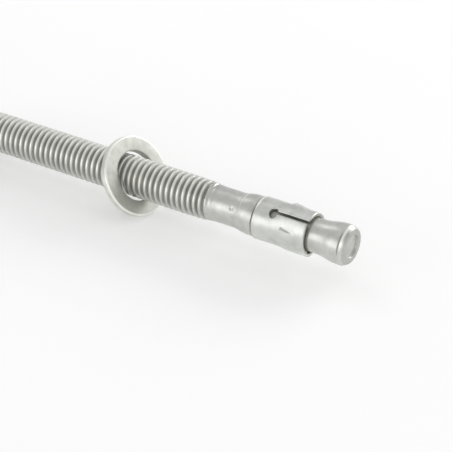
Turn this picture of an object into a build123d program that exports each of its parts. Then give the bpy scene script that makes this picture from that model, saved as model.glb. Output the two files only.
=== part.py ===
"""Wedge anchor, M8 x 100, for an 8 mm drilled hole.

The stud lies along X. The origin is the centre of the end face that the hammer strikes,
+X points to the cone at the tip, and +Z is up. All sizes are in millimetres.
"""

from build123d import *
import os
from math import acos, atan2, cos, degrees, hypot, radians, sin, tan

# Sizes that the whole anchor shares
anchor_dia = 8.0  # drilled hole, and nominal size of the thread
stud_length = 100.0

# Threaded part of the stud, made as a plain rod at the size of the thread's crests
crest_drop = 0.05  # radius of the crests below the nominal radius
end_chamfer = 0.8
runout_length = 4.8
runout_drop = 0.11  # the last turns stand this much lower

# Waist between the thread and the collar
shoulder_angle = 8.8
waist_depth = 0.47  # radius of the waist below the nominal radius
waist_length = 5.1

# Collar that pushes the clip into the hole
collar_angle = 12.0
collar_length = 2.05
neck_depth = 0.675  # radius of the neck below the nominal radius
neck_fillet = 0.15

# Cone that spreads the clip
cone_angle = 12.25
rim_length = 1.8
rim_round = 0.35
tip_edge_length = 1.0
tip_edge_drop = 0.58
tip_recess_dia = 4.66
tip_recess_depth = 0.35
tip_recess_draft = 0.13

# Radii of the soft blends between the stretches of the stud
thread_blend = 8.0
waist_blend = 6.0
collar_blend = 8.0
cone_foot_blend = 14.0
cone_rim_blend = 10.0

# Expansion clip, bent round the neck from sheet
clip_length = 11.5
clip_wall = 0.8
clip_clearance = 0.1  # between the neck and the clip all round
clip_gap = 0.1  # between the collar and the clip
clip_travel = 2.4  # length of the neck beyond the clip
clip_edge = 0.12
finger_count = 3
first_slot_angle = 32.0  # from the top toward -Y
slot_width = 0.75
slot_start = 4.0  # from the clip's back edge to the middle of the keyhole
keyhole_length = 1.7
keyhole_width = 2.2
keyhole_shift = 0.2
finger_corner = 0.5

# Grip pads pressed out of the fingers
pad_start = 6.35  # from the clip's back edge
pad_length = 3.3
pad_height = 0.42
pad_span = 50.0
pad_round = 0.15

# Washer, leaning on the stud as far as its bore lets it
washer_outer_dia = 16.0
washer_slack = 2.1  # bore over the crests of the thread
washer_thickness = 1.5
washer_edge = 0.25
washer_clearance = 0.08
washer_x = 51.2
washer_turn = 11.0  # direction of the lean, from the top toward -Y

# Hexagon nut
nut_x = 5.0
nut_height = 6.5
nut_across_flats = 13.0
nut_chamfer_angle = 30.0
nut_face_dia = 12.2
nut_clearance = 0.1  # between the crests of the stud and the bore
nut_countersink = 0.33

# Radii along the stud
nominal_radius = anchor_dia / 2
crest_radius = nominal_radius - crest_drop
runout_radius = crest_radius - runout_drop
waist_radius = nominal_radius - waist_depth
neck_radius = nominal_radius - neck_depth
tip_face_radius = nominal_radius - tip_edge_drop
tip_recess_radius = tip_recess_dia / 2

# Places along the stud, worked out from the tip toward the thread
rim_front = stud_length - tip_edge_length
rim_back = rim_front - rim_length
cone_back = rim_back - neck_depth / tan(radians(cone_angle))
neck_back = cone_back - clip_travel - clip_length
collar_crest = neck_back - collar_length
collar_back = collar_crest - waist_depth / tan(radians(collar_angle))
waist_back = collar_back - waist_length
shoulder_back = waist_back - (runout_radius - waist_radius) / tan(radians(shoulder_angle))
thread_full = shoulder_back - runout_length

# Clip
clip_back = neck_back + clip_gap
clip_front = clip_back + clip_length
clip_inner_radius = neck_radius + clip_clearance
clip_outer_radius = clip_inner_radius + clip_wall
finger_pitch = 360 / finger_count

# Washer: the ends of the bore's wall meet the thread at the top and at the bottom
washer_bore_radius = crest_radius + washer_slack / 2
bore_half_wall = washer_thickness / 2 - washer_edge
washer_lean = degrees(
    acos((crest_radius + washer_clearance) / hypot(washer_bore_radius, bore_half_wall))
    - atan2(bore_half_wall, washer_bore_radius)
)

# Nut
nut_front = nut_x + nut_height
nut_bore_radius = crest_radius + nut_clearance
nut_sink_radius = nut_bore_radius + nut_countersink
nut_face_radius = nut_face_dia / 2
nut_corner_radius = nut_across_flats / 2 / cos(radians(30))
nut_chamfer = (nut_corner_radius - nut_face_radius) * tan(radians(nut_chamfer_angle))


def outward(angle):
    """Direction away from the stud's axis, at an angle from the top toward -Y."""
    return (0, -sin(radians(angle)), cos(radians(angle)))


def radial_plane(x, angle):
    """Plane on the stud's axis that faces outward: local X runs toward the tip."""
    return Plane(origin=(x, 0, 0), x_dir=(1, 0, 0), z_dir=outward(angle))


def section_plane(angle):
    """Plane through the stud's axis: local X is the axis and local Y points outward."""
    return Plane(origin=(0, 0, 0), x_dir=(1, 0, 0), z_dir=outward(angle + 90))


# Half outline of the stud: place along the axis, radius, and rounding of that corner
stud_outline = [
    (0, 0, 0),
    (0, crest_radius - end_chamfer, 0),
    (end_chamfer, crest_radius, 0),
    (thread_full, crest_radius, 0),
    (shoulder_back, runout_radius, thread_blend),
    (waist_back, waist_radius, waist_blend),
    (collar_back, waist_radius, waist_blend),
    (collar_crest, nominal_radius, collar_blend),
    (neck_back, nominal_radius, 0),
    (neck_back, neck_radius, neck_fillet),
    (cone_back, neck_radius, cone_foot_blend),
    (rim_back, nominal_radius, cone_rim_blend),
    (rim_front, nominal_radius, rim_round),
    (stud_length, tip_face_radius, rim_round),
    (stud_length, tip_recess_radius, 0),
    (stud_length - tip_recess_depth, tip_recess_radius - tip_recess_draft, 0),
    (stud_length - tip_recess_depth, 0, 0),
]

with BuildPart() as cone_bolt:
    with BuildSketch(Plane.XY):
        with BuildLine():
            corners = [(x, radius) for x, radius, rounding in stud_outline]
            roundings = [rounding for x, radius, rounding in stud_outline[1:-1]]
            FilletPolyline(*corners, radius=roundings)
            Line(corners[-1], corners[0])
        make_face()
    revolve(axis=Axis.X)

with BuildPart() as expansion_clip:
    # Sleeve round the neck
    with BuildSketch(section_plane(first_slot_angle)):
        with BuildLine():
            Polyline(
                (clip_back, clip_inner_radius),
                (clip_back, clip_outer_radius - clip_edge),
                (clip_back + clip_edge, clip_outer_radius),
                (clip_front, clip_outer_radius),
                (clip_front, clip_inner_radius),
                close=True,
            )
        make_face()
    revolve(axis=Axis.X)

    # One pad in the middle of each finger: a step behind, and a slope toward the tip
    for finger in range(finger_count):
        pad_middle = first_slot_angle + (finger + 0.5) * finger_pitch
        pad_back = clip_back + pad_start
        pad_foot = clip_outer_radius - clip_wall / 2
        with BuildSketch(section_plane(pad_middle - pad_span / 2)):
            with BuildLine():
                FilletPolyline(
                    (pad_back, pad_foot),
                    (pad_back, clip_outer_radius + pad_height),
                    (pad_back + pad_length, clip_outer_radius),
                    (pad_back + pad_length, pad_foot),
                    radius=[pad_round, 0],
                )
                Line((pad_back + pad_length, pad_foot), (pad_back, pad_foot))
            make_face()
        revolve(axis=Axis.X, revolution_arc=pad_span)

    # A keyhole and a slot to the front end between the fingers
    slot_length = clip_length - slot_start + clip_edge
    for slot in range(finger_count - 1):
        with BuildSketch(radial_plane(clip_back + slot_start, first_slot_angle + slot * finger_pitch)):
            with Locations((0, -keyhole_shift)):
                Ellipse(keyhole_length / 2, keyhole_width / 2)
            Rectangle(slot_length, slot_width, align=(Align.MIN, Align.CENTER))
        extrude(amount=clip_outer_radius + pad_height, mode=Mode.SUBTRACT)

    # The last slot is the seam, where the two ends of the sheet meet
    seam_angle = first_slot_angle + (finger_count - 1) * finger_pitch
    with BuildSketch(radial_plane(clip_back + clip_length / 2, seam_angle)):
        Rectangle(clip_length + clip_edge, slot_width)
    extrude(amount=clip_outer_radius + pad_height, mode=Mode.SUBTRACT)

    # Round the corners of the fingers
    front_edges = expansion_clip.edges().filter_by_position(Axis.X, clip_front, clip_front)
    fillet(front_edges.filter_by(GeomType.LINE), radius=finger_corner)

washer_plane = Plane(
    origin=(washer_x, 0, 0),
    x_dir=outward(washer_turn + 90),
    z_dir=(
        cos(radians(washer_lean)),
        -sin(radians(washer_lean)) * sin(radians(washer_turn)),
        sin(radians(washer_lean)) * cos(radians(washer_turn)),
    ),
)

with BuildPart() as washer:
    with BuildSketch(washer_plane):
        Circle(washer_outer_dia / 2)
        Circle(washer_bore_radius, mode=Mode.SUBTRACT)
    extrude(amount=washer_thickness / 2, both=True)
    chamfer(washer.edges().filter_by(GeomType.CIRCLE), length=washer_edge)

with BuildPart() as hex_nut:
    with BuildSketch(Plane.XY):
        with BuildLine():
            Polyline(
                (nut_x, nut_sink_radius),
                (nut_x, nut_face_radius),
                (nut_x + nut_chamfer, nut_corner_radius),
                (nut_front - nut_chamfer, nut_corner_radius),
                (nut_front, nut_face_radius),
                (nut_front, nut_sink_radius),
                (nut_front - nut_countersink, nut_bore_radius),
                (nut_x + nut_countersink, nut_bore_radius),
                close=True,
            )
        make_face()
    revolve(axis=Axis.X)
    with BuildSketch(Plane.YZ.offset(nut_x)):
        RegularPolygon(nut_across_flats / 2, 6, major_radius=False)
    extrude(amount=nut_height, mode=Mode.INTERSECT)

cone_bolt.part.label = "cone_bolt"
expansion_clip.part.label = "expansion_clip"
washer.part.label = "washer"
hex_nut.part.label = "hex_nut"

os.makedirs("parts", exist_ok=True)
export_step(cone_bolt.part, "parts/cone_bolt.step")
export_step(expansion_clip.part, "parts/expansion_clip.step")
export_step(washer.part, "parts/washer.step")
export_step(hex_nut.part, "parts/hex_nut.step")
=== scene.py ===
"""Wedge anchor M8 x 100: rolled thread, pressed clip, steel with painted shade and highlights, and
a pale studio.

The frame is that of the CAD model: the stud lies along X with its tip at +X, and +Z is up.
Shapes are worked out in millimetres and scaled to metres when their mesh is made. Angles round
the stud are in degrees from the top toward -Y, the side that the camera sees.
"""

from math import asin, atan2, ceil, cos, pi, radians, sin, sqrt, tan

import bmesh
import bpy
import numpy as np
from mathutils import Matrix, Vector
from mathutils.geometry import delaunay_2d_cdt


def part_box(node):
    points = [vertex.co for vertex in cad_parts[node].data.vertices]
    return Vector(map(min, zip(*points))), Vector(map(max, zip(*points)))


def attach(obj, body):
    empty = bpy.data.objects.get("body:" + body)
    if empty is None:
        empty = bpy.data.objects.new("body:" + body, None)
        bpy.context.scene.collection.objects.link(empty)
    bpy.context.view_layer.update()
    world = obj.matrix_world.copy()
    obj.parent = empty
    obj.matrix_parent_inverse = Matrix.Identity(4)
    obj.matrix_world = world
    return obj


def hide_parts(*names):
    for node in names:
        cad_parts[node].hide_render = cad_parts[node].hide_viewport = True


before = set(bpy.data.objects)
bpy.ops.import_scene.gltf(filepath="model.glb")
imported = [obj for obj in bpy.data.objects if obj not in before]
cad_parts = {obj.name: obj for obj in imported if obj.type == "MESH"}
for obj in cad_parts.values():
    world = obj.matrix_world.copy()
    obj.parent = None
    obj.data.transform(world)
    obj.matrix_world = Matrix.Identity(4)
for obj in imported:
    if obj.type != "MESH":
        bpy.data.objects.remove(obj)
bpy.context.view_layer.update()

MM = 0.001

# ---------------------------------------------------------------- sizes, in millimetres

stud_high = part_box("cone_bolt")[1] / MM
clip_low, clip_high = [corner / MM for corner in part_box("expansion_clip")]
nut_low, nut_high = [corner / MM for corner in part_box("hex_nut")]
washer_low, washer_high = [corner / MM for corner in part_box("washer")]

STUD_LENGTH = stud_high.x
RIM_RADIUS = stud_high.z
CREST_RADIUS = RIM_RADIUS - 0.05
RUNOUT_RADIUS = RIM_RADIUS - 0.16
WAIST_RADIUS = RIM_RADIUS - 0.47
NECK_RADIUS = RIM_RADIUS - 0.675
TIP_FACE_RADIUS = RIM_RADIUS - 0.58
RECESS_RADIUS = 2.33
RECESS_FLOOR_RADIUS = 2.2
RECESS_DEPTH = 0.35

# Places on the stud, measured back from the tip
RIM_FRONT = STUD_LENGTH - 1.0
RIM_BACK = STUD_LENGTH - 2.8
CONE_BACK = STUD_LENGTH - 5.909
NECK_BACK = STUD_LENGTH - 19.809
COLLAR_CREST = STUD_LENGTH - 21.859
COLLAR_BACK = STUD_LENGTH - 24.070
WAIST_BACK = STUD_LENGTH - 29.170
SHOULDER_BACK = STUD_LENGTH - 31.173
THREAD_FULL = STUD_LENGTH - 35.973

# Roundings of the stud's corners
THREAD_BLEND = 8.0
WAIST_BLEND = 6.0
COLLAR_BLEND = 8.0
COLLAR_EDGE = 0.12
NECK_FILLET = 0.15
CONE_FOOT_BLEND = 14.0
CONE_RIM_BLEND = 10.0
RIM_ROUND = 0.3
TIP_ROUND = 0.35
RECESS_EDGE = 0.12
RECESS_FILLET = 0.15

# Small marks of the rolling dies, each on one side of the stud, and a nick on the waist
RIDGE = STUD_LENGTH - 23.0
RIDGE_HEIGHT = 0.05
RIDGE_TURN = 5.0
RIM_CREASE = STUD_LENGTH - 1.12
CREASE_DEPTH = 0.12
CREASE_TURN = 60.0
LAST_TURN = STUD_LENGTH - 29.2
LAST_TURN_HEIGHT = 0.04
LAST_TURN_ANGLE = 62.0
MARK_WIDTH = 0.1
MARK_REACH = 0.24
MARK_POINTS = 13
NICK = STUD_LENGTH - 24.6
NICK_TURN = 61.0
NICK_SIZE = 0.32
NICK_DEPTH = 0.13
NICK_REACH = 0.6

# Thread. Shares of the pitch and of the depth shape its groove.
PITCH = 1.25
HELIX_LEAD = 2
THREAD_DEPTH = 0.68
END_CHAMFER = 0.8
THREAD_SHIFT = 0.43
GROOVE_FADE_START = STUD_LENGTH - 31.5
GROOVE_FADE_END = STUD_LENGTH - 29.4
BEYOND_FADE = 0.4
CREST_HALF = 0.2
ROOT_HALF = 0.38
CREST_ROUND = 0.1
ROOT_ROUND = 0.12
THREAD_PHASES = [-0.5, -0.44, -0.38, -0.32, -0.26, -0.2, -0.1,
                 0.0, 0.1, 0.2, 0.26, 0.32, 0.38, 0.44]
STEPS_PER_TURN = 96
END_FACE_RINGS = 6

# Clip
CLIP_OUTER = RIM_RADIUS + 0.225
CLIP_INNER = RIM_RADIUS - 0.575
CLIP_LENGTH = clip_high.x - clip_low.x
ROUND_CLIP = 2 * pi * CLIP_OUTER
SLOT_ANGLE = 32.0
FINGERS = 3
FINGER_PITCH = ROUND_CLIP / FINGERS
SLOT_WIDTH = 0.75
SLOT_START = 4.0
KEYHOLE_LENGTH = 1.7
KEYHOLE_WIDTH = 2.2
KEYHOLE_SHIFT = 0.2
FINGER_CORNER = 0.5
SEAM_CORNER = 0.25
PAD_START = 6.35
PAD_LENGTH = 3.3
PAD_HEIGHT = 0.42
PAD_HALF_SPAN = radians(25.0) * CLIP_OUTER
PAD_SIDE = 0.5
PAD_STEP = 0.1
PAD_TAPER = 0.19
SHEET_EDGE = 0.2
LIFT_WIDTH = 3.2
LIFT_HEIGHT = 0.42
LIFT_LENGTH = 3.0
EDGE_RINGS = (0.0, 0.3, 1.0)  # shares of the rounding
EDGE_SPACING = 0.12
EDGE_MARGIN = 0.05
SHEET_SPACING = 0.13
CLOSE_STEPS = np.array([-0.05, -0.025, 0.0, 0.025, 0.05])

# Washer
WASHER_RADIUS = 8.0
WASHER_BORE = 5.0
WASHER_THICKNESS = 1.5
WASHER_EDGE = 0.34
BORE_EDGE = 0.12
WASHER_STEPS = 192
WASHER_LEAN = 30.9679
WASHER_TURN = 11.0
WASHER_CENTRE = (washer_low + washer_high) / 2
WASHER_TILT = (Matrix.Rotation(radians(WASHER_TURN), 3, "X")
               @ Matrix.Rotation(-radians(WASHER_LEAN), 3, "Y"))

# Nut
NUT_FLATS = 13.0
NUT_FACE_RADIUS = 6.1
NUT_CORNER_ROUND = 0.22
NUT_CORNER_STEP = 0.28
NUT_FLAT_START = 1.6
NUT_FLAT_STEPS = 25
NUT_EDGE_ROUND = 0.1
NUT_BORE = RIM_RADIUS + 0.05
NUT_SINK = 0.33
NUT_SINK_ROUND = 0.06

# A ring of this radius closes to one point when the mesh is cleaned
CLOSED = 1e-4


# ---------------------------------------------------------------- outlines and meshes

def smooth(share):
    """Eases a share between 0 and 1 in and out."""
    return share * share * (3 - 2 * share)


def rounded(corners, closed=False, steps=6):
    """Points along the runs between corners (a, b, radius), with an arc at each rounded one."""
    count = len(corners)
    points = []
    for i, (a, b, radius) in enumerate(corners):
        here = np.array([a, b], float)
        if radius == 0 or (not closed and i in (0, count - 1)):
            points.append(here)
            continue
        before = np.array(corners[i - 1][:2], float) - here
        after = np.array(corners[(i + 1) % count][:2], float) - here
        before /= np.linalg.norm(before)
        after /= np.linalg.norm(after)
        half = np.arccos(np.clip(before @ after, -1, 1)) / 2
        middle = (before + after) / np.linalg.norm(before + after)
        centre = here + middle * radius / sin(half)
        first = here + before * radius / tan(half) - centre
        last = here + after * radius / tan(half) - centre
        sweep = atan2(first[0] * last[1] - first[1] * last[0], first @ last)
        for k in range(steps + 1):
            turn = sweep * k / steps
            spin = np.array([[cos(turn), -sin(turn)], [sin(turn), cos(turn)]])
            points.append(centre + spin @ first)
    return np.array(points)


def grid_faces(rows, columns, closed_rows=False, closed_columns=False, first=0):
    """Quads of a grid whose points are numbered row by row."""
    faces = []
    for i in range(rows if closed_rows else rows - 1):
        for j in range(columns if closed_columns else columns - 1):
            down = (i + 1) % rows
            right = (j + 1) % columns
            faces.append((first + i * columns + j, first + i * columns + right,
                          first + down * columns + right, first + down * columns + j))
    return faces


def ring_points(outline, angles):
    """The outline (x, radius) turned round the X axis: a row of points for each outline point."""
    x = np.repeat(outline[:, 0], len(angles))
    radius = np.repeat(outline[:, 1], len(angles))
    turn = np.tile(angles, len(outline))
    return np.column_stack([x, radius * np.cos(turn), radius * np.sin(turn)])


def clean_mesh(mesh, distance=1e-7):
    """Joins points that coincide, drops faces with no area and turns every face outward."""
    work = bmesh.new()
    work.from_mesh(mesh)
    bmesh.ops.remove_doubles(work, verts=work.verts, dist=distance)
    bmesh.ops.dissolve_degenerate(work, edges=work.edges, dist=distance)
    bmesh.ops.recalc_face_normals(work, faces=work.faces)
    work.to_mesh(mesh)
    work.free()


def make_object(name, points, faces, smooth_angle):
    """A mesh object from points in millimetres, with smooth shading up to an angle."""
    mesh = bpy.data.meshes.new(name)
    mesh.from_pydata([tuple(p) for p in np.asarray(points) * MM], [], [tuple(f) for f in faces])
    mesh.update()
    piece = bpy.data.objects.new(name, mesh)
    bpy.context.scene.collection.objects.link(piece)
    clean_mesh(mesh)
    mesh.shade_smooth()
    mesh.set_sharp_from_angle(angle=radians(smooth_angle))
    return piece


# ---------------------------------------------------------------- stud

# The outline starts behind the end face, where the helix does
STUD_CORNERS = [
    (-HELIX_LEAD * PITCH, CREST_RADIUS, 0),
    (THREAD_FULL, CREST_RADIUS, 0),
    (SHOULDER_BACK, RUNOUT_RADIUS, THREAD_BLEND),
    (WAIST_BACK, WAIST_RADIUS, WAIST_BLEND),
    (COLLAR_BACK, WAIST_RADIUS, WAIST_BLEND),
    (COLLAR_CREST, RIM_RADIUS, COLLAR_BLEND),
    (NECK_BACK, RIM_RADIUS, COLLAR_EDGE),
    (NECK_BACK, NECK_RADIUS, NECK_FILLET),
    (CONE_BACK, NECK_RADIUS, CONE_FOOT_BLEND),
    (RIM_BACK, RIM_RADIUS, CONE_RIM_BLEND),
    (RIM_FRONT, RIM_RADIUS, RIM_ROUND),
    (STUD_LENGTH, TIP_FACE_RADIUS, TIP_ROUND),
    (STUD_LENGTH, RECESS_RADIUS, RECESS_EDGE),
    (STUD_LENGTH - RECESS_DEPTH, RECESS_FLOOR_RADIUS, RECESS_FILLET),
    (STUD_LENGTH - RECESS_DEPTH, 0.0, 0),
]


def stud_outline():
    """The turned outline with its blends, and with close points where the skin is marked."""
    outline = rounded(STUD_CORNERS, steps=10)
    for place, reach in ((RIDGE, MARK_REACH), (RIM_CREASE, MARK_REACH), (NICK, NICK_REACH)):
        across = place + np.linspace(-reach, reach, MARK_POINTS)
        radius = np.interp(across, outline[:, 0], outline[:, 1])
        before = outline[outline[:, 0] < across[0]]
        after = outline[outline[:, 0] > across[-1]]
        outline = np.vstack([before, np.column_stack([across, radius]), after])
    return outline


def facing(turn, angle):
    """1 on the side of the stud at that angle, fading to 0 round it."""
    return np.clip(np.cos(turn - radians(angle)), 0, 1) ** 2


def add_marks(points):
    """Gives the skin its last turn's lip, the collar's ridge, the rim's crease and the nick."""
    radius = np.hypot(points[:, 1], points[:, 2])
    turn = np.arctan2(-points[:, 1], points[:, 2])
    rise = np.zeros(len(points))
    for place, height, angle in ((LAST_TURN, LAST_TURN_HEIGHT, LAST_TURN_ANGLE),
                                 (RIDGE, RIDGE_HEIGHT, RIDGE_TURN),
                                 (RIM_CREASE, -CREASE_DEPTH, CREASE_TURN)):
        across = np.exp(-((points[:, 0] - place) / MARK_WIDTH) ** 2)
        rise += height * across * facing(turn, angle)
    along = (points[:, 0] - NICK) / NICK_SIZE
    around = (turn - radians(NICK_TURN)) * radius / NICK_SIZE
    rise -= NICK_DEPTH * np.exp(-along ** 2 - around ** 2)
    points[:, 1:] *= (1 + rise / np.maximum(radius, 1e-3))[:, None]
    return points


def groove(phase):
    """Depth of the thread at a share of its pitch: 0 on the rounded crest, 1 in the root."""
    away = abs((phase + 0.5) % 1.0 - 0.5)
    if away <= CREST_HALF:
        return CREST_ROUND * (away / CREST_HALF) ** 2
    if away >= ROOT_HALF:
        return 1 - ROOT_ROUND * ((0.5 - away) / (0.5 - ROOT_HALF)) ** 2
    down_flank = (away - CREST_HALF) / (ROOT_HALF - CREST_HALF)
    return CREST_ROUND + (1 - CREST_ROUND - ROOT_ROUND) * down_flank


def thread_strip(outline, thread_end):
    """The helical thread as one long strip: a row of points across it at each step round."""
    turns = ceil(thread_end / PITCH) + 2 * HELIX_LEAD
    rows = turns * STEPS_PER_TURN + 1
    end_radius = np.interp(thread_end, outline[:, 0], outline[:, 1])
    points = []
    for i in range(rows):
        angle = 2 * pi * i / STEPS_PER_TURN
        for phase in THREAD_PHASES:
            x = PITCH * (i / STEPS_PER_TURN + phase - HELIX_LEAD) + THREAD_SHIFT
            envelope = np.interp(x, outline[:, 0], outline[:, 1])
            left = (GROOVE_FADE_END - x) / (GROOVE_FADE_END - GROOVE_FADE_START)
            depth = THREAD_DEPTH * smooth(min(max(left, 0), 1))
            x = min(max(x, 0.0), thread_end)
            radius = min(envelope - depth * groove(phase), CREST_RADIUS - END_CHAMFER + x)
            if x >= thread_end:
                radius = end_radius
            points.append((x, radius * cos(angle), radius * sin(angle)))

    columns = len(THREAD_PHASES)
    faces = grid_faces(rows, columns)
    for i in range(rows - STEPS_PER_TURN - 1):
        last = i * columns + columns - 1
        next_turn = (i + STEPS_PER_TURN) * columns
        faces.append((last, next_turn, next_turn + columns, last + columns))
    return np.array(points), faces


def stud_mesh():
    """The thread, the turned skin from its run-out to the tip, and the driven end's face."""
    outline = stud_outline()
    thread_end = GROOVE_FADE_END + BEYOND_FADE
    points, faces = thread_strip(outline, thread_end)

    start = np.interp(thread_end, outline[:, 0], outline[:, 1])
    skin = np.vstack([[thread_end, start], outline[outline[:, 0] > thread_end + 1e-6]])
    skin[-1][1] = CLOSED
    end_radii = np.linspace(CREST_RADIUS - END_CHAMFER, 0.0, END_FACE_RINGS)
    end_face = np.array([(0.0, radius) for radius in end_radii])
    end_face[-1][1] = CLOSED
    angles = 2 * pi * np.arange(STEPS_PER_TURN) / STEPS_PER_TURN
    for turned in (skin, end_face):
        faces += grid_faces(len(turned), STEPS_PER_TURN, closed_columns=True, first=len(points))
        points = np.vstack([points, ring_points(turned, angles)])
    return add_marks(points), faces


# ---------------------------------------------------------------- clip

def keyhole(middle, steps=20):
    """Points round the rounded end of the slot at that distance round the sheet."""
    half_slot, half_width = SLOT_WIDTH / 2, KEYHOLE_WIDTH / 2
    start = -asin((half_slot + KEYHOLE_SHIFT) / half_width)
    stop = asin((half_slot - KEYHOLE_SHIFT) / half_width)
    points = []
    for k in range(steps + 1):
        turn = start - (start - stop + 2 * pi) * k / steps
        points.append((SLOT_START + KEYHOLE_LENGTH / 2 * cos(turn),
                       middle + KEYHOLE_SHIFT + half_width * sin(turn), 0.0))
    return points


def sheet_outline():
    """Edge of the flat sheet: place along the clip against distance round it."""
    half_slot = SLOT_WIDTH / 2
    corners = [(0.0, half_slot, SEAM_CORNER), (CLIP_LENGTH, half_slot, FINGER_CORNER)]
    for slot in range(1, FINGERS):
        middle = ROUND_CLIP * slot / FINGERS
        corners.append((CLIP_LENGTH, middle - half_slot, FINGER_CORNER))
        corners += keyhole(middle)
        corners.append((CLIP_LENGTH, middle + half_slot, FINGER_CORNER))
    corners.append((CLIP_LENGTH, ROUND_CLIP - half_slot, FINGER_CORNER))
    corners.append((0.0, ROUND_CLIP - half_slot, SEAM_CORNER))
    return rounded(corners, closed=True, steps=8)


def densify(loop, spacing):
    """The closed loop with points added so that none is further than the spacing from the next."""
    points = []
    for a, b in zip(loop, np.roll(loop, -1, axis=0)):
        pieces = max(1, ceil(np.linalg.norm(b - a) / spacing))
        points += [a + (b - a) * k / pieces for k in range(pieces)]
    return np.array(points)


def counter_clockwise(loop):
    """The closed loop in counter-clockwise order."""
    after = np.roll(loop, -1, axis=0)
    area = 0.5 * np.sum(loop[:, 0] * after[:, 1] - after[:, 0] * loop[:, 1])
    return loop[::-1] if area < 0 else loop


def inset(loop, distance):
    """The counter-clockwise loop moved inward by a small distance."""
    along = np.roll(loop, -1, axis=0) - np.roll(loop, 1, axis=0)
    along /= np.linalg.norm(along, axis=1)[:, None]
    return loop + distance * np.column_stack([-along[:, 1], along[:, 0]])


def inside(points, loop):
    """Which points lie inside the closed loop."""
    x, y = points[:, 0], points[:, 1]
    within = np.zeros(len(points), bool)
    for (xa, ya), (xb, yb) in zip(loop, np.roll(loop, -1, axis=0)):
        crosses = (ya > y) != (yb > y)
        if ya != yb:
            within ^= crosses & (x < (xb - xa) * (y - ya) / (yb - ya) + xa)
    return within


def edge_distance(points, loop):
    """Distance of each point from the closed loop."""
    nearest = np.full(len(points), np.inf)
    for a, b in zip(loop, np.roll(loop, -1, axis=0)):
        along = b - a
        share = np.clip(((points - a) @ along) / (along @ along), 0, 1)
        gap = np.linalg.norm(points - a - share[:, None] * along, axis=1)
        nearest = np.minimum(nearest, gap)
    return nearest


def pad_rise(x, around):
    """Height of the pressed pads above the sheet: a step behind, and a slope toward the tip."""
    aside = np.abs(around % FINGER_PITCH - FINGER_PITCH / 2)
    half_width = PAD_HALF_SPAN - PAD_TAPER * np.clip(x - PAD_START, 0, PAD_LENGTH)
    side = np.clip((half_width - aside) / PAD_SIDE + 0.5, 0, 1)
    back = np.clip((x - PAD_START) / PAD_STEP + 0.5, 0, 1)
    slope = np.clip(1 - (x - PAD_START) / PAD_LENGTH, 0, 1)
    return PAD_HEIGHT * slope * smooth(side) * smooth(back)


def edge_lift(x, around):
    """The free edge of each finger stands a little proud of the sleeve beside its slot."""
    beside = np.clip(1 - (around % FINGER_PITCH - SLOT_WIDTH / 2) / LIFT_WIDTH, 0, 1)
    along = np.clip((x - SLOT_START) / LIFT_LENGTH, 0, 1)
    return LIFT_HEIGHT * beside ** 2 * smooth(along)


def grid_inside(loop):
    """An even grid over the sheet, closer at the pads' steps, and clear of the sheet's edge."""
    x_rows = np.arange(0.0, CLIP_LENGTH, SHEET_SPACING)
    x_rows = np.concatenate([x_rows, PAD_START + CLOSE_STEPS])
    round_rows = np.arange(0.0, ROUND_CLIP, SHEET_SPACING)
    for finger in range(FINGERS):
        for side in (-PAD_HALF_SPAN, PAD_HALF_SPAN):
            pad_edge = FINGER_PITCH * (finger + 0.5) + side
            round_rows = np.concatenate([round_rows, pad_edge + CLOSE_STEPS])
    x_rows = np.unique(np.round(x_rows, 4))
    round_rows = np.unique(np.round(round_rows, 4))
    grid = np.array([(x, around) for x in x_rows for around in round_rows])
    grid = grid[inside(grid, loop)]
    return grid[edge_distance(grid, loop) > SHEET_EDGE + EDGE_MARGIN]


def flat_sheet(loop):
    """Points and triangles of the flat sheet within its edge."""
    rings = [inset(loop, SHEET_EDGE * share) for share in EDGE_RINGS]
    flat = np.vstack(rings + [grid_inside(loop)])
    count = len(loop)
    edges = [(i, (i + 1) % count) for i in range(count)]
    made = delaunay_2d_cdt([Vector(p) for p in flat], edges, [], 1, 1e-5, True)
    points = np.array([tuple(p) for p in made[0]])
    triangles = [list(t) for t in made[2]]
    kept = inside(np.array([points[t].mean(axis=0) for t in triangles]), loop)
    return points, [t for t, keep in zip(triangles, kept) if keep]


def wrapped(points, radius):
    """The flat points wrapped round the stud at these radii, from the seam on."""
    seam = SLOT_ANGLE + 360.0 * (FINGERS - 1) / FINGERS
    turn = radians(seam) + points[:, 1] / CLIP_OUTER
    x = clip_low.x + points[:, 0]
    return np.column_stack([x, -radius * np.sin(turn), radius * np.cos(turn)])


def clip_mesh():
    """The sheet of the clip, cut out flat, given its pads and wrapped round the neck."""
    loop = counter_clockwise(densify(sheet_outline(), EDGE_SPACING))
    flat, triangles = flat_sheet(loop)
    short = np.clip(SHEET_EDGE - edge_distance(flat, loop), 0, None)
    drop = SHEET_EDGE - np.sqrt(np.clip(SHEET_EDGE ** 2 - short ** 2, 0, None))
    lift = edge_lift(flat[:, 0], flat[:, 1])
    top = CLIP_OUTER - drop + pad_rise(flat[:, 0], flat[:, 1]) + lift
    bottom = CLIP_INNER + drop + lift

    count = len(flat)
    faces = [tuple(t) for t in triangles]
    faces += [tuple(count + i for i in reversed(t)) for t in triangles]
    sides = {(a, b) for t in triangles for a, b in zip(t, t[1:] + t[:1])}
    faces += [(b, a, count + a, count + b) for a, b in sorted(sides) if (b, a) not in sides]
    return np.vstack([wrapped(flat, top), wrapped(flat, bottom)]), faces


# ---------------------------------------------------------------- washer and nut

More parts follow.
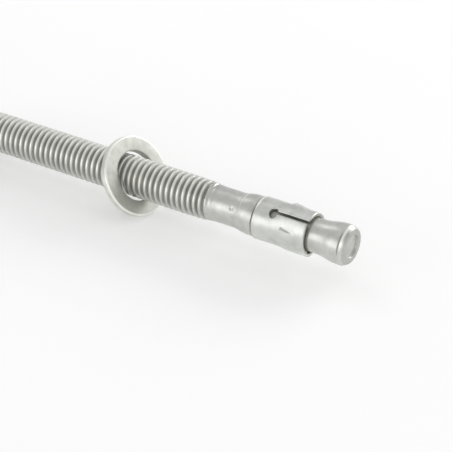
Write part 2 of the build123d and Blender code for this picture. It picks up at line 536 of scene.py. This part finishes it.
def washer_mesh():
    """A flat ring with rounded edges, leaning back from the X axis."""
    half = WASHER_THICKNESS / 2
    corners = [(-half, WASHER_BORE, BORE_EDGE), (-half, WASHER_RADIUS, WASHER_EDGE),
               (half, WASHER_RADIUS, WASHER_EDGE), (half, WASHER_BORE, BORE_EDGE)]
    outline = rounded(corners, closed=True, steps=8)
    points = ring_points(outline, 2 * pi * np.arange(WASHER_STEPS) / WASHER_STEPS)
    faces = grid_faces(len(outline), WASHER_STEPS, closed_rows=True, closed_columns=True)
    return points @ np.array(WASHER_TILT).T + np.array(WASHER_CENTRE), faces


def hexagon_radius(angle):
    """Distance from the nut's axis to its rounded hexagon, with a corner at angle 0."""
    flat = NUT_FLATS / 2
    off_corner = abs((angle + pi / 6) % (pi / 3) - pi / 6)
    centre = (flat - NUT_CORNER_ROUND) / cos(pi / 6)
    touch = atan2(NUT_CORNER_ROUND * sin(pi / 6), centre + NUT_CORNER_ROUND * cos(pi / 6))
    if off_corner < touch:
        across = centre * sin(off_corner)
        return centre * cos(off_corner) + sqrt(NUT_CORNER_ROUND ** 2 - across ** 2)
    return flat / cos(pi / 6 - off_corner)


def nut_mesh():
    """A hexagon nut: flats, corners cut by the two face cones, and a countersunk bore."""
    back, front = nut_low.x, nut_high.x
    corner = radians(NUT_CORNER_STEP) * np.arange(-3, 4)
    flat = np.linspace(radians(NUT_FLAT_START), radians(60 - NUT_FLAT_START), NUT_FLAT_STEPS)
    rows = []
    for angle in np.concatenate([radians(60 * k) + np.append(corner, flat) for k in range(6)]):
        radius = hexagon_radius(angle)
        cut = (radius - NUT_FACE_RADIUS) * tan(pi / 6)
        outline = rounded([
            (back + NUT_SINK, NUT_BORE, NUT_EDGE_ROUND),
            (back, NUT_BORE + NUT_SINK, NUT_SINK_ROUND),
            (back, NUT_FACE_RADIUS, NUT_EDGE_ROUND),
            (back + cut, radius, NUT_EDGE_ROUND),
            (front - cut, radius, NUT_EDGE_ROUND),
            (front, NUT_FACE_RADIUS, NUT_EDGE_ROUND),
            (front, NUT_BORE + NUT_SINK, NUT_SINK_ROUND),
            (front - NUT_SINK, NUT_BORE, NUT_EDGE_ROUND),
        ], closed=True, steps=4)
        rows.append(ring_points(outline, np.array([angle])))
    faces = grid_faces(len(rows), len(rows[0]), closed_rows=True, closed_columns=True)
    return np.vstack(rows), faces


# ---------------------------------------------------------------- node helpers

class Nodes:
    """Adds and links the nodes of one material."""

    def __init__(self, material):
        material.use_nodes = True
        self.tree = material.node_tree
        self.tree.nodes.clear()
        self.output = self.add("ShaderNodeOutputMaterial")
        self.shader = self.add("ShaderNodeBsdfPrincipled")
        self.link(self.shader, "BSDF", self.output, "Surface")

    def add(self, kind, **values):
        node = self.tree.nodes.new(kind)
        for key, value in values.items():
            if key in node.inputs:
                node.inputs[key].default_value = value
            else:
                setattr(node, key, value)
        return node

    def link(self, source, out, target, into):
        self.tree.links.new(source.outputs[out], target.inputs[into])


def combine(nodes, operation, *sources):
    """Math on the results of nodes and on plain numbers."""
    node = nodes.add("ShaderNodeMath", operation=operation)
    for place, source in enumerate(sources):
        if isinstance(source, (int, float)):
            node.inputs[place].default_value = source
        else:
            nodes.link(source, 0, node, place)
    return node


def product(nodes, *shares):
    """All the shares multiplied together."""
    result = shares[0]
    for share in shares[1:]:
        result = combine(nodes, "MULTIPLY", result, share)
    return result


def largest(nodes, *shares):
    """The largest of the shares."""
    result = shares[0]
    for share in shares[1:]:
        result = combine(nodes, "MAXIMUM", result, share)
    return result


def noise_texture(nodes, stretch, detail, roughness=0.6):
    """Noise in the object's own space, with a scale for each axis in waves per millimetre."""
    place = nodes.add("ShaderNodeTexCoord")
    mapping = nodes.add("ShaderNodeMapping", Scale=[s / MM for s in stretch])
    noise = nodes.add("ShaderNodeTexNoise", Scale=1.0, Detail=detail, Roughness=roughness)
    nodes.link(place, "Object", mapping, "Vector")
    nodes.link(mapping, "Vector", noise, "Vector")
    return noise


def soft_step(nodes, source, low, high):
    """0 at the first value and 1 at the second, smooth between and level beyond them."""
    step = nodes.add("ShaderNodeMapRange", interpolation_type="SMOOTHSTEP")
    step.inputs["From Min"].default_value = low
    step.inputs["From Max"].default_value = high
    nodes.link(source, 0, step, "Value")
    return step


def axis_parts(nodes, centre=None, tilt=None):
    """The place along X, the parts across it toward +Y and +Z, and the distance from X."""
    place = nodes.add("ShaderNodeTexCoord")
    split = nodes.add("ShaderNodeSeparateXYZ")
    if centre is None:
        nodes.link(place, "Object", split, "Vector")
    else:
        turned = nodes.add("ShaderNodeMapping", vector_type="TEXTURE",
                           Location=centre * MM, Rotation=tilt.to_euler())
        nodes.link(place, "Object", turned, "Vector")
        nodes.link(turned, "Vector", split, "Vector")
    parts = {}
    for axis in ("X", "Y", "Z"):
        parts[axis] = nodes.add("ShaderNodeMath", operation="ADD")
        nodes.link(split, axis, parts[axis], 0)
        parts[axis].inputs[1].default_value = 0.0
    squares = [product(nodes, parts[axis], parts[axis]) for axis in ("Y", "Z")]
    parts["radius"] = combine(nodes, "POWER", combine(nodes, "ADD", *squares), 0.5)
    return parts


def step_along(nodes, parts, place, offsets):
    """A soft step between two offsets from a place along the axis."""
    low, high = [(place + offset) * MM for offset in offsets]
    return soft_step(nodes, parts["X"], low, high)


def step_outward(nodes, parts, radius, offsets):
    """A soft step between two offsets from a distance from the axis."""
    low, high = [(radius + offset) * MM for offset in offsets]
    return soft_step(nodes, parts["radius"], low, high)


def step_to_side(nodes, parts, angle, cosines):
    """A soft step toward the side at that angle, between two cosines of the angle from it."""
    up = combine(nodes, "MULTIPLY", parts["Z"], cos(radians(angle)))
    aside = combine(nodes, "MULTIPLY", parts["Y"], -sin(radians(angle)))
    cosine = combine(nodes, "DIVIDE", combine(nodes, "ADD", up, aside), parts["radius"])
    return soft_step(nodes, cosine, *cosines)


def band(nodes, place, low, high, soft):
    """1 between two places along the axis and 0 outside them, with soft borders."""
    above = soft_step(nodes, place, (low - soft / 2) * MM, (low + soft / 2) * MM)
    below = soft_step(nodes, place, (high + soft / 2) * MM, (high - soft / 2) * MM)
    return product(nodes, above, below)


def ragged_place(nodes, parts, swing):
    """The place along the axis, shifted a little to and fro so that a border isn't ruled."""
    noise = noise_texture(nodes, (0.8, 0.8, 0.8), 3.0)
    return combine(nodes, "MULTIPLY_ADD", noise, swing * MM, parts["X"])


# ---------------------------------------------------------------- steel

# Colours of the painted shade and painted highlights, and roughness added under the painted shade
SHADE_COLOUR = (0.36, 0.36, 0.32)
HIGHLIGHT_COLOUR = (0.93, 0.93, 0.88)
SHADE_ROUGHNESS = 0.2

# Mottling: the base colour is darker and lighter than written by these factors
MOTTLE_SCALE = (0.45, 0.45, 0.45)
MOTTLE_RANGE = (0.3, 0.7)
MOTTLE_TONES = (0.84, 1.1)
MARK_RELIEF = 0.02

# Sides that get painted shade or painted highlights
CREST_TURN = 30.0
NOSE_TURN = 40.0
CLIP_HIGHLIGHT_TURN = 5.0
CLIP_SHADE_TURN = 90.0
STUD_SHADE_TURN = 108.0

# A side begins at the first cosine of the angle from its middle and is full at the second
WIDE_SIDE = (0.35, 0.9)
STUD_SHADE_SIDE = (0.4, 0.9)
CLIP_SHADE_SIDE = (0.6, 0.85)
MARK_SIDE = (0.7, 0.95)
NARROW_SIDE = (0.75, 0.95)

# Each step begins at the first offset and is full at the second, in millimetres
ROOTS = (-0.3, -0.62)  # below the crests
THREAD_FADE = (0.0, -0.6)  # before the groove has faded
OPEN_END = (-0.8, -0.2)  # before the clip's front
KEYHOLES = (5.7, 5.0)  # beyond the clip's back
TIP_FACE = (-0.42, -0.2)  # before the tip
CRESTS = (-0.26, -0.05)  # below the crests
CREST_FADE = (0.5, 0.0)  # beyond where the groove begins to fade
SHEET_DEPTH = (-0.1, -0.4)  # below the clip's skin
CLIP_BACK = (0.3, 0.15)  # beyond the clip's back
BORE_WALL = (0.35, 0.1)  # beyond the washer's bore
STUD_SHADE = (1.9, 0.1)  # beyond the washer's bore
WASHER_RIM = (-0.4, -0.25)  # before the washer's rim
WASHER_FRONT = (-0.45, -0.25)  # before the washer's front face

# Bands between two places
NECK_BAND_START = NECK_BACK + 0.05
NECK_BAND_END = clip_high.x + 0.7
CREASE_HALF_BAND = 0.13
RIDGE_HALF_BAND = 0.1
NOSE_START = RIM_FRONT + 0.1
NOSE_END = RIM_FRONT + 0.45
CLIP_EDGE_START = clip_low.x + 0.1
CLIP_EDGE_END = clip_low.x + 0.5

# How strong each painted shade or painted highlight is, from 0 to 1
ROOT_SHARE = 0.8
KEYHOLE_SHARE = 0.7
UNDER_CLIP_SHARE = 0.15
TIP_FACE_SHARE = 0.4
CREST_SHARE = 0.7
SHEET_SHARE = 0.7
BORE_SHARE = 0.5
STUD_SHADE_SHARE = 0.72

# Sockets of a Mix node that mixes colours
FIRST_COLOUR, SECOND_COLOUR, MIXED_COLOUR = 6, 7, 2


def stud_painted_shade_and_dark_tip(nodes):
    """Painted shade in the roots, under the clip and in the crease; a darker, duller tip face."""
    parts = axis_parts(nodes)
    # Painted shade in the thread's roots, up to where the groove fades out
    deep = step_outward(nodes, parts, CREST_RADIUS, ROOTS)
    roots = product(nodes, deep, step_along(nodes, parts, GROOVE_FADE_END, THREAD_FADE), ROOT_SHARE)

    # The painted shade on the neck is darkest at the clip's open end, and less so in the keyholes
    ragged = ragged_place(nodes, parts, swing=0.4)
    neck = band(nodes, ragged, NECK_BAND_START, NECK_BAND_END, soft=0.3)
    open_end = step_along(nodes, parts, clip_high.x, OPEN_END)
    keyholes = product(nodes, step_along(nodes, parts, clip_low.x, KEYHOLES), KEYHOLE_SHARE)
    neck = product(nodes, neck, largest(nodes, open_end, keyholes, UNDER_CLIP_SHARE))

    # Painted shade in the rim's crease, on the front side below the top
    crease = band(nodes, parts["X"], RIM_CREASE - CREASE_HALF_BAND,
                  RIM_CREASE + CREASE_HALF_BAND, soft=0.12)
    crease = product(nodes, crease, step_to_side(nodes, parts, CREASE_TURN, NARROW_SIDE))
    # The tip face is darker and duller all over
    tip_face = product(nodes, step_along(nodes, parts, STUD_LENGTH, TIP_FACE), TIP_FACE_SHARE)
    return largest(nodes, roots, neck, crease, tip_face)


def stud_painted_highlights(nodes):
    """Painted highlights on the thread's upper crests, on the nose and on the collar's ridge."""
    parts = axis_parts(nodes)
    high = step_outward(nodes, parts, CREST_RADIUS, CRESTS)
    in_thread = step_along(nodes, parts, GROOVE_FADE_START, CREST_FADE)
    crests = product(nodes, high, in_thread, step_to_side(nodes, parts, CREST_TURN, WIDE_SIDE))
    nose = band(nodes, parts["X"], NOSE_START, NOSE_END, soft=0.2)
    nose = product(nodes, nose, step_to_side(nodes, parts, NOSE_TURN, MARK_SIDE))
    ridge = band(nodes, parts["X"], RIDGE - RIDGE_HALF_BAND, RIDGE + RIDGE_HALF_BAND, soft=0.15)
    ridge = product(nodes, ridge, step_to_side(nodes, parts, RIDGE_TURN, MARK_SIDE))
    return largest(nodes, product(nodes, crests, CREST_SHARE), nose, ridge)


def clip_painted_shade(nodes):
    """Painted shade on the clip's cut edges and underside, and a painted shadow at its back edge.
    """
    parts = axis_parts(nodes)
    deep = product(nodes, step_outward(nodes, parts, CLIP_OUTER, SHEET_DEPTH), SHEET_SHARE)
    edge = step_along(nodes, parts, clip_low.x, CLIP_BACK)
    edge = product(nodes, edge, step_to_side(nodes, parts, CLIP_SHADE_TURN, CLIP_SHADE_SIDE))
    return largest(nodes, deep, edge)


def clip_painted_highlight(nodes):
    """A painted highlight along the top of the clip's rounded back edge."""
    parts = axis_parts(nodes)
    edge = band(nodes, parts["X"], CLIP_EDGE_START, CLIP_EDGE_END, soft=0.15)
    return product(nodes, edge, step_to_side(nodes, parts, CLIP_HIGHLIGHT_TURN, NARROW_SIDE))


def washer_painted_shade(nodes):
    """Painted shade in the bore, and the stud's shadow and reflection painted on the face below."""
    parts = axis_parts(nodes, WASHER_CENTRE, WASHER_TILT)
    under = step_to_side(nodes, parts, STUD_SHADE_TURN, STUD_SHADE_SIDE)
    wall = step_outward(nodes, parts, WASHER_BORE, BORE_WALL)
    wall = product(nodes, wall, largest(nodes, under, BORE_SHARE))
    stud_shade = product(nodes, step_outward(nodes, parts, WASHER_BORE, STUD_SHADE), under, STUD_SHADE_SHARE)
    return largest(nodes, wall, stud_shade)


def washer_painted_highlight(nodes):
    """A painted highlight along the rounded outer edge of the face toward the tip."""
    parts = axis_parts(nodes, WASHER_CENTRE, WASHER_TILT)
    outer = step_outward(nodes, parts, WASHER_RADIUS, WASHER_RIM)
    return product(nodes, outer, step_along(nodes, parts, WASHER_THICKNESS / 2, WASHER_FRONT))


def blend_colour(nodes, share, base, out, colour):
    """The base colour, giving way to a second one."""
    mix = nodes.add("ShaderNodeMix", data_type="RGBA")
    nodes.link(share, 0, mix, "Factor")
    nodes.link(base, out, mix, FIRST_COLOUR)
    mix.inputs[SECOND_COLOUR].default_value = (*colour, 1)
    return mix


def steel(name, colour, roughness, spread, stretch, bump, painted_shade=None, painted_highlight=None, matte_shade=0.0):
    """Satin stainless steel: mottled tone, uneven gloss, fine tool marks, painted shade and painted
    highlights.

    Roughness varies by the spread, stretch and bump shape the tool marks, and the last
    argument takes that share of the metal away where the shade is painted, so that it is matte.
    """
    material = bpy.data.materials.new(name)
    nodes = Nodes(material)
    nodes.shader.inputs["Metallic"].default_value = 1.0

    tone = nodes.add("ShaderNodeValToRGB")
    for stop, place, factor in zip(tone.color_ramp.elements, MOTTLE_RANGE, MOTTLE_TONES):
        stop.position = place
        stop.color = (*[min(c * factor, 1) for c in colour], 1)
    nodes.link(noise_texture(nodes, MOTTLE_SCALE, 5.0), "Fac", tone, "Fac")

    marks = noise_texture(nodes, stretch, 5.0, 0.65)
    gloss = nodes.add("ShaderNodeMapRange")
    gloss.inputs["To Min"].default_value = roughness - spread
    gloss.inputs["To Max"].default_value = roughness + spread
    nodes.link(marks, "Fac", gloss, "Value")

    last, out = tone, "Color"
    # Painted highlights, then painted shade, go over the mottled base colour
    if painted_highlight:
        last, out = blend_colour(nodes, painted_highlight(nodes), last, out, HIGHLIGHT_COLOUR), MIXED_COLOUR
    if painted_shade:
        share = painted_shade(nodes)
        last, out = blend_colour(nodes, share, last, out, SHADE_COLOUR), MIXED_COLOUR
        gloss = combine(nodes, "MULTIPLY_ADD", share, SHADE_ROUGHNESS, gloss)
        # Where the shade is painted, the surface loses this share of its metal and turns matte
        if matte_shade:
            bare = combine(nodes, "MULTIPLY_ADD", share, -matte_shade, 1.0)
            nodes.link(bare, 0, nodes.shader, "Metallic")
    nodes.link(last, out, nodes.shader, "Base Color")
    nodes.link(gloss, 0, nodes.shader, "Roughness")

    relief = nodes.add("ShaderNodeBump", Strength=bump, Distance=MARK_RELIEF * MM)
    nodes.link(marks, "Fac", relief, "Height")
    nodes.link(relief, "Normal", nodes.shader, "Normal")
    return material


# ---------------------------------------------------------------- studio

FLOOR_HALF_SIZE = 1.2
FLOOR_TONES = (0.83, 0.845)
FLOOR_GLOW = 0.23

ROOM_LEVEL = 0.70
DARK_LEVEL = 0.18
DARK_SIDE = (-0.02, -0.90, 0.43)
DARK_SPREAD = (0.92, 0.985)
BACKDROP = 0.96

# Name, place, size and power of each lamp, which all face the middle of the visible part
LAMPS = [
    ("back", (0.36, 0.92, 0.42), (0.8, 0.45), 4.0),
    ("front", (-0.40, -0.92, 0.14), (0.8, 0.9), 2.6),
    ("right", (0.60, -0.85, 0.35), (0.5, 0.5), 0.8),
    ("top", (-0.60, 0.30, 0.78), (0.35, 0.35), 0.4),
]
LAMP_TARGET = (0.07, 0, 0)

# The photograph's direction and distance
CAMERA_RIGHT = (0.84626, 0.53261, 0.01274)
CAMERA_UP = (-0.28017, 0.42456, 0.86096)
CAMERA_PLACE = (249.42, -285.96, 194.11)
SENSOR_WIDTH = 36.0
LENS = 161.49


def floor_paper():
    """Matte pale studio paper, a little lighter to the camera and in reflections."""
    material = bpy.data.materials.new("floor_paper")
    nodes = Nodes(material)
    nodes.shader.inputs["Roughness"].default_value = 0.9
    nodes.shader.inputs["Specular IOR Level"].default_value = 0.1
    tone = nodes.add("ShaderNodeValToRGB")
    for stop, grey in zip(tone.color_ramp.elements, FLOOR_TONES):
        stop.color = (grey, grey, grey, 1)
    nodes.link(noise_texture(nodes, (0.02, 0.02, 0.02), 3.0), "Fac", tone, "Fac")
    nodes.link(tone, "Color", nodes.shader, "Base Color")

    path = nodes.add("ShaderNodeLightPath")
    seen = nodes.add("ShaderNodeMath", operation="MAXIMUM")
    nodes.link(path, "Is Camera Ray", seen, 0)
    nodes.link(path, "Is Glossy Ray", seen, 1)
    also = nodes.add("ShaderNodeMath", operation="MAXIMUM")
    nodes.link(seen, "Value", also, 0)
    nodes.link(path, "Is Transmission Ray", also, 1)
    pick = nodes.add("ShaderNodeMixShader")
    nodes.link(also, "Value", pick, 0)
    nodes.link(nodes.add("ShaderNodeEmission", Strength=0.0), "Emission", pick, 1)
    nodes.link(nodes.add("ShaderNodeEmission", Strength=FLOOR_GLOW), "Emission", pick, 2)
    both = nodes.add("ShaderNodeAddShader")
    nodes.link(nodes.shader, "BSDF", both, 0)
    nodes.link(pick, "Shader", both, 1)
    nodes.link(both, "Shader", nodes.output, "Surface")
    return material


def make_floor():
    """A floor that touches the nut's lower back edge and the washer's lowest point."""
    pivot = Vector((nut_low.x, 0, nut_low.z)) * MM
    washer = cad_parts["washer"].data
    slope = max((pivot.z - v.co.z) / (v.co.x - pivot.x) for v in washer.vertices)
    size = FLOOR_HALF_SIZE
    corners = [(-size, -size), (size, -size), (size, size), (-size, size)]
    points = [(x, y, pivot.z - slope * (x - pivot.x)) for x, y in corners]
    mesh = bpy.data.meshes.new("studio_floor")
    mesh.from_pydata(points, [], [(0, 1, 2, 3)])
    floor = bpy.data.objects.new("studio_floor", mesh)
    bpy.context.scene.collection.objects.link(floor)
    mesh.materials.append(floor_paper())


def area_light(name, place, size, power):
    """A soft rectangular lamp."""
    light = bpy.data.lights.new(name, "AREA")
    light.shape = "RECTANGLE"
    light.size, light.size_y = size
    light.energy = power
    lamp = bpy.data.objects.new(name, light)
    bpy.context.scene.collection.objects.link(lamp)
    lamp.location = place
    ahead = Vector(LAMP_TARGET) - Vector(place)
    lamp.rotation_euler = ahead.to_track_quat("-Z", "Y").to_euler()


def make_camera():
    """Looks down on the tip end, as the photograph does."""
    right, up = Vector(CAMERA_RIGHT), Vector(CAMERA_UP)
    basis = Matrix((right, up, right.cross(up))).transposed()
    data = bpy.data.cameras.new("camera")
    data.sensor_width = SENSOR_WIDTH
    data.lens = LENS
    camera = bpy.data.objects.new("camera", data)
    bpy.context.scene.collection.objects.link(camera)
    camera.matrix_world = Matrix.Translation(Vector(CAMERA_PLACE) * MM) @ basis.to_4x4()
    bpy.context.scene.camera = camera


def make_world():
    """An even pale room, darker on one side, and as pale as the floor behind the object."""
    world = bpy.data.worlds.new("studio")
    bpy.context.scene.world = world
    world.use_nodes = True
    tree = world.node_tree
    background = tree.nodes["Background"]
    background.inputs["Color"].default_value = (1, 1, 1, 1)
    place = tree.nodes.new("ShaderNodeTexCoord")
    toward_dark = tree.nodes.new("ShaderNodeVectorMath")
    toward_dark.operation = "DOT_PRODUCT"
    toward_dark.inputs[1].default_value = Vector(DARK_SIDE).normalized()
    tree.links.new(place.outputs["Generated"], toward_dark.inputs[0])
    level = tree.nodes.new("ShaderNodeMapRange")
    level.interpolation_type = "SMOOTHSTEP"
    limits = {"From Min": DARK_SPREAD[0], "From Max": DARK_SPREAD[1],
              "To Min": ROOM_LEVEL, "To Max": DARK_LEVEL}
    for socket, value in limits.items():
        level.inputs[socket].default_value = value
    tree.links.new(toward_dark.outputs["Value"], level.inputs["Value"])

    path = tree.nodes.new("ShaderNodeLightPath")
    seen = tree.nodes.new("ShaderNodeMix")
    seen.inputs["B"].default_value = BACKDROP
    tree.links.new(path.outputs["Is Camera Ray"], seen.inputs["Factor"])
    tree.links.new(level.outputs["Result"], seen.inputs["A"])
    tree.links.new(seen.outputs["Result"], background.inputs["Strength"])


# ---------------------------------------------------------------- assembly

def place_piece(name, mesh, node, body, material, smooth_angle):
    """Makes a visible piece that stands for a CAD node and rides on its body."""
    points, faces = mesh
    piece = make_object(name, points, faces, smooth_angle)
    piece.data.materials.append(material)
    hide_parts(node)
    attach(piece, body)


# The stud, clip and washer carry painted shade and painted highlights; the nut has none
stud_steel = steel(
    "stud_steel", (0.60, 0.605, 0.575), roughness=0.35, spread=0.09, stretch=(0.8, 4.0, 4.0),
    bump=0.45, painted_shade=stud_painted_shade_and_dark_tip, painted_highlight=stud_painted_highlights)
clip_steel = steel(
    "clip_steel", (0.67, 0.68, 0.65), roughness=0.37, spread=0.09, stretch=(2.5, 2.5, 2.5),
    bump=0.45, painted_shade=clip_painted_shade, painted_highlight=clip_painted_highlight)
washer_steel = steel(
    "washer_steel", (0.725, 0.735, 0.675), roughness=0.38, spread=0.06, stretch=(2.0, 2.0, 2.0),
    bump=0.35, painted_shade=washer_painted_shade, painted_highlight=washer_painted_highlight, matte_shade=0.9)
nut_steel = steel(
    "nut_steel", (0.60, 0.605, 0.575), roughness=0.42, spread=0.07, stretch=(2.0, 2.0, 2.0),
    bump=0.4)

place_piece("rolled_stud", stud_mesh(), "cone_bolt", "stud", stud_steel, 40.0)
place_piece("pressed_clip", clip_mesh(), "expansion_clip", "clip", clip_steel, 50.0)
place_piece("flat_washer", washer_mesh(), "washer", "washer", washer_steel, 40.0)
place_piece("hexagon_nut", nut_mesh(), "hex_nut", "nut", nut_steel, 25.0)

make_floor()
make_camera()
make_world()
for lamp in LAMPS:
    area_light(*lamp)
bpy.context.scene.view_settings.view_transform = "Standard"
